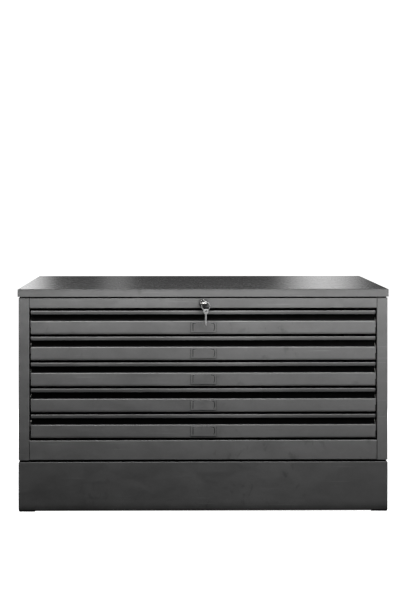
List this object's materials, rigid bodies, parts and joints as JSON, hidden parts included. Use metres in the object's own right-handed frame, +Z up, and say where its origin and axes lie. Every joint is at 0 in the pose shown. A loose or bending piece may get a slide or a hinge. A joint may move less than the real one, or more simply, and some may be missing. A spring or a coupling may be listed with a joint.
{
  "type": "plan chest",
  "caption": "Low, wide steel plan chest with shallow full-width drawers, finger-recess fronts, a central lock with keys, and a plinth.",
  "frame": {"origin": "on the floor, under the middle of the bounding box, keys included", "axes": "+X to the right seen from the front, -Y to the front, +Z up"},
  "size_m": [1.0054, 0.7495, 0.603],
  "materials": {
    "black_paint": "semi-gloss black enamel, slightly worn",
    "tray_paint": "satin black enamel",
    "zinc_steel": "zinc-plated",
    "dark_steel": "blackened",
    "chrome": "polished",
    "bright_steel": "nickel-plated, handled",
    "nylon": "natural nylon",
    "rubber": "matt"
  },
  "bodies": {
    "carcass": {"top_panel": "black_paint", "left_side_panel": "black_paint", "right_side_panel": "black_paint", "back_panel": "black_paint", "top_rail": "black_paint", "bottom_rail": "black_paint", "floor_panel": "tray_paint", "plinth": "black_paint", "foot_pad_front_left": "rubber", "foot_pad_front_right": "rubber", "foot_pad_rear_left": "rubber", "foot_pad_rear_right": "rubber", "lock_housing": "dark_steel", "lock_nut": "zinc_steel", "shaft_bracket": "zinc_steel", "bar_guide": "nylon", "drawer_1_rail_left": "zinc_steel", "drawer_1_rail_right": "zinc_steel", "drawer_2_rail_left": "zinc_steel", "drawer_2_rail_right": "zinc_steel", "drawer_3_rail_left": "zinc_steel", "drawer_3_rail_right": "zinc_steel", "drawer_4_rail_left": "zinc_steel", "drawer_4_rail_right": "zinc_steel", "drawer_5_rail_left": "zinc_steel", "drawer_5_rail_right": "zinc_steel"},
    "drawer_1": {"drawer_1_tray": "tray_paint", "drawer_1_front": "black_paint", "drawer_1_label_holder": "black_paint"},
    "drawer_1_roller_left": {"drawer_1_roller_left": "nylon"},
    "drawer_1_roller_right": {"drawer_1_roller_right": "nylon"},
    "drawer_2": {"drawer_2_tray": "tray_paint", "drawer_2_front": "black_paint", "drawer_2_label_holder": "black_paint"},
    "drawer_2_roller_left": {"drawer_2_roller_left": "nylon"},
    "drawer_2_roller_right": {"drawer_2_roller_right": "nylon"},
    "drawer_3": {"drawer_3_tray": "tray_paint", "drawer_3_front": "black_paint", "drawer_3_label_holder": "black_paint"},
    "drawer_3_roller_left": {"drawer_3_roller_left": "nylon"},
    "drawer_3_roller_right": {"drawer_3_roller_right": "nylon"},
    "drawer_4": {"drawer_4_tray": "tray_paint", "drawer_4_front": "black_paint", "drawer_4_label_holder": "black_paint"},
    "drawer_4_roller_left": {"drawer_4_roller_left": "nylon"},
    "drawer_4_roller_right": {"drawer_4_roller_right": "nylon"},
    "drawer_5": {"drawer_5_tray": "tray_paint", "drawer_5_front": "black_paint", "drawer_5_label_holder": "black_paint"},
    "drawer_5_roller_left": {"drawer_5_roller_left": "nylon"},
    "drawer_5_roller_right": {"drawer_5_roller_right": "nylon"},
    "lock": {"lock_plug": "chrome", "lock_shaft": "zinc_steel", "lock_crank": "zinc_steel"},
    "locking_bar": {"locking_bar": "zinc_steel"},
    "key": {"key": "bright_steel"},
    "key_ring": {"key_ring": "bright_steel"},
    "spare_key": {"spare_key": "bright_steel"}
  },
  "joints": [
    {"name": "drawer_1_slide", "type": "slide", "parent": "carcass", "child": "drawer_1", "axis": [0, -1, 0], "range_m": [0, 0.52]},
    {"name": "drawer_1_roller_left_spin", "type": "hinge", "parent": "drawer_1", "child": "drawer_1_roller_left", "pos_m": [-0.462, 0.3094, 0.5083], "axis": [1, 0, 0], "range_deg": [0, 2980]},
    {"name": "drawer_1_roller_right_spin", "type": "hinge", "parent": "drawer_1", "child": "drawer_1_roller_right", "pos_m": [0.462, 0.3094, 0.5083], "axis": [1, 0, 0], "range_deg": [0, 2980]},
    {"name": "drawer_2_slide", "type": "slide", "parent": "carcass", "child": "drawer_2", "axis": [0, -1, 0], "range_m": [0, 0.52]},
    {"name": "drawer_2_roller_left_spin", "type": "hinge", "parent": "drawer_2", "child": "drawer_2_roller_left", "pos_m": [-0.462, 0.3094, 0.4381], "axis": [1, 0, 0], "range_deg": [0, 2980]},
    {"name": "drawer_2_roller_right_spin", "type": "hinge", "parent": "drawer_2", "child": "drawer_2_roller_right", "pos_m": [0.462, 0.3094, 0.4381], "axis": [1, 0, 0], "range_deg": [0, 2980]},
    {"name": "drawer_3_slide", "type": "slide", "parent": "carcass", "child": "drawer_3", "axis": [0, -1, 0], "range_m": [0, 0.52]},
    {"name": "drawer_3_roller_left_spin", "type": "hinge", "parent": "drawer_3", "child": "drawer_3_roller_left", "pos_m": [-0.462, 0.3094, 0.3679], "axis": [1, 0, 0], "range_deg": [0, 2980]},
    {"name": "drawer_3_roller_right_spin", "type": "hinge", "parent": "drawer_3", "child": "drawer_3_roller_right", "pos_m": [0.462, 0.3094, 0.3679], "axis": [1, 0, 0], "range_deg": [0, 2980]},
    {"name": "drawer_4_slide", "type": "slide", "parent": "carcass", "child": "drawer_4", "axis": [0, -1, 0], "range_m": [0, 0.52]},
    {"name": "drawer_4_roller_left_spin", "type": "hinge", "parent": "drawer_4", "child": "drawer_4_roller_left", "pos_m": [-0.462, 0.3094, 0.2977], "axis": [1, 0, 0], "range_deg": [0, 2980]},
    {"name": "drawer_4_roller_right_spin", "type": "hinge", "parent": "drawer_4", "child": "drawer_4_roller_right", "pos_m": [0.462, 0.3094, 0.2977], "axis": [1, 0, 0], "range_deg": [0, 2980]},
    {"name": "drawer_5_slide", "type": "slide", "parent": "carcass", "child": "drawer_5", "axis": [0, -1, 0], "range_m": [0, 0.52]},
    {"name": "drawer_5_roller_left_spin", "type": "hinge", "parent": "drawer_5", "child": "drawer_5_roller_left", "pos_m": [-0.462, 0.3094, 0.2275], "axis": [1, 0, 0], "range_deg": [0, 2980]},
    {"name": "drawer_5_roller_right_spin", "type": "hinge", "parent": "drawer_5", "child": "drawer_5_roller_right", "pos_m": [0.462, 0.3094, 0.2275], "axis": [1, 0, 0], "range_deg": [0, 2980]},
    {"name": "lock_turn", "type": "hinge", "parent": "carcass", "child": "lock", "pos_m": [0, -0.3526, 0.565], "axis": [0, 1, 0], "range_deg": [0, 90]},
    {"name": "locking_bar_slide", "type": "slide", "parent": "carcass", "child": "locking_bar", "axis": [0, 0, -1], "range_m": [0, 0.012]},
    {"name": "key_pull", "type": "slide", "parent": "lock", "child": "key", "axis": [0, -1, 0], "range_m": [0, 0.03]},
    {"name": "key_ring_swing", "type": "hinge", "parent": "key", "child": "key_ring", "pos_m": [0.0062, -0.3686, 0.5646], "axis": [0, 1, 0], "range_deg": [-90, 0]},
    {"name": "spare_key_swing", "type": "hinge", "parent": "key_ring", "child": "spare_key", "pos_m": [0.00651, -0.3686, 0.5458], "axis": [-1, 0, 0], "range_deg": [-12, 85]}
  ],
  "couplings": [
    {"joint": "drawer_1_roller_left_spin", "follows": "drawer_1_slide", "rad_per_m": 100},
    {"joint": "drawer_1_roller_right_spin", "follows": "drawer_1_slide", "rad_per_m": 100},
    {"joint": "drawer_2_roller_left_spin", "follows": "drawer_2_slide", "rad_per_m": 100},
    {"joint": "drawer_2_roller_right_spin", "follows": "drawer_2_slide", "rad_per_m": 100},
    {"joint": "drawer_3_roller_left_spin", "follows": "drawer_3_slide", "rad_per_m": 100},
    {"joint": "drawer_3_roller_right_spin", "follows": "drawer_3_slide", "rad_per_m": 100},
    {"joint": "drawer_4_roller_left_spin", "follows": "drawer_4_slide", "rad_per_m": 100},
    {"joint": "drawer_4_roller_right_spin", "follows": "drawer_4_slide", "rad_per_m": 100},
    {"joint": "drawer_5_roller_left_spin", "follows": "drawer_5_slide", "rad_per_m": 100},
    {"joint": "drawer_5_roller_right_spin", "follows": "drawer_5_slide", "rad_per_m": 100},
    {"joint": "lock_turn", "follows": "locking_bar_slide", "rad_per_m": 130.9},
    {"joint": "key_ring_swing", "follows": "locking_bar_slide", "rad_per_m": -130.9}
  ]
}
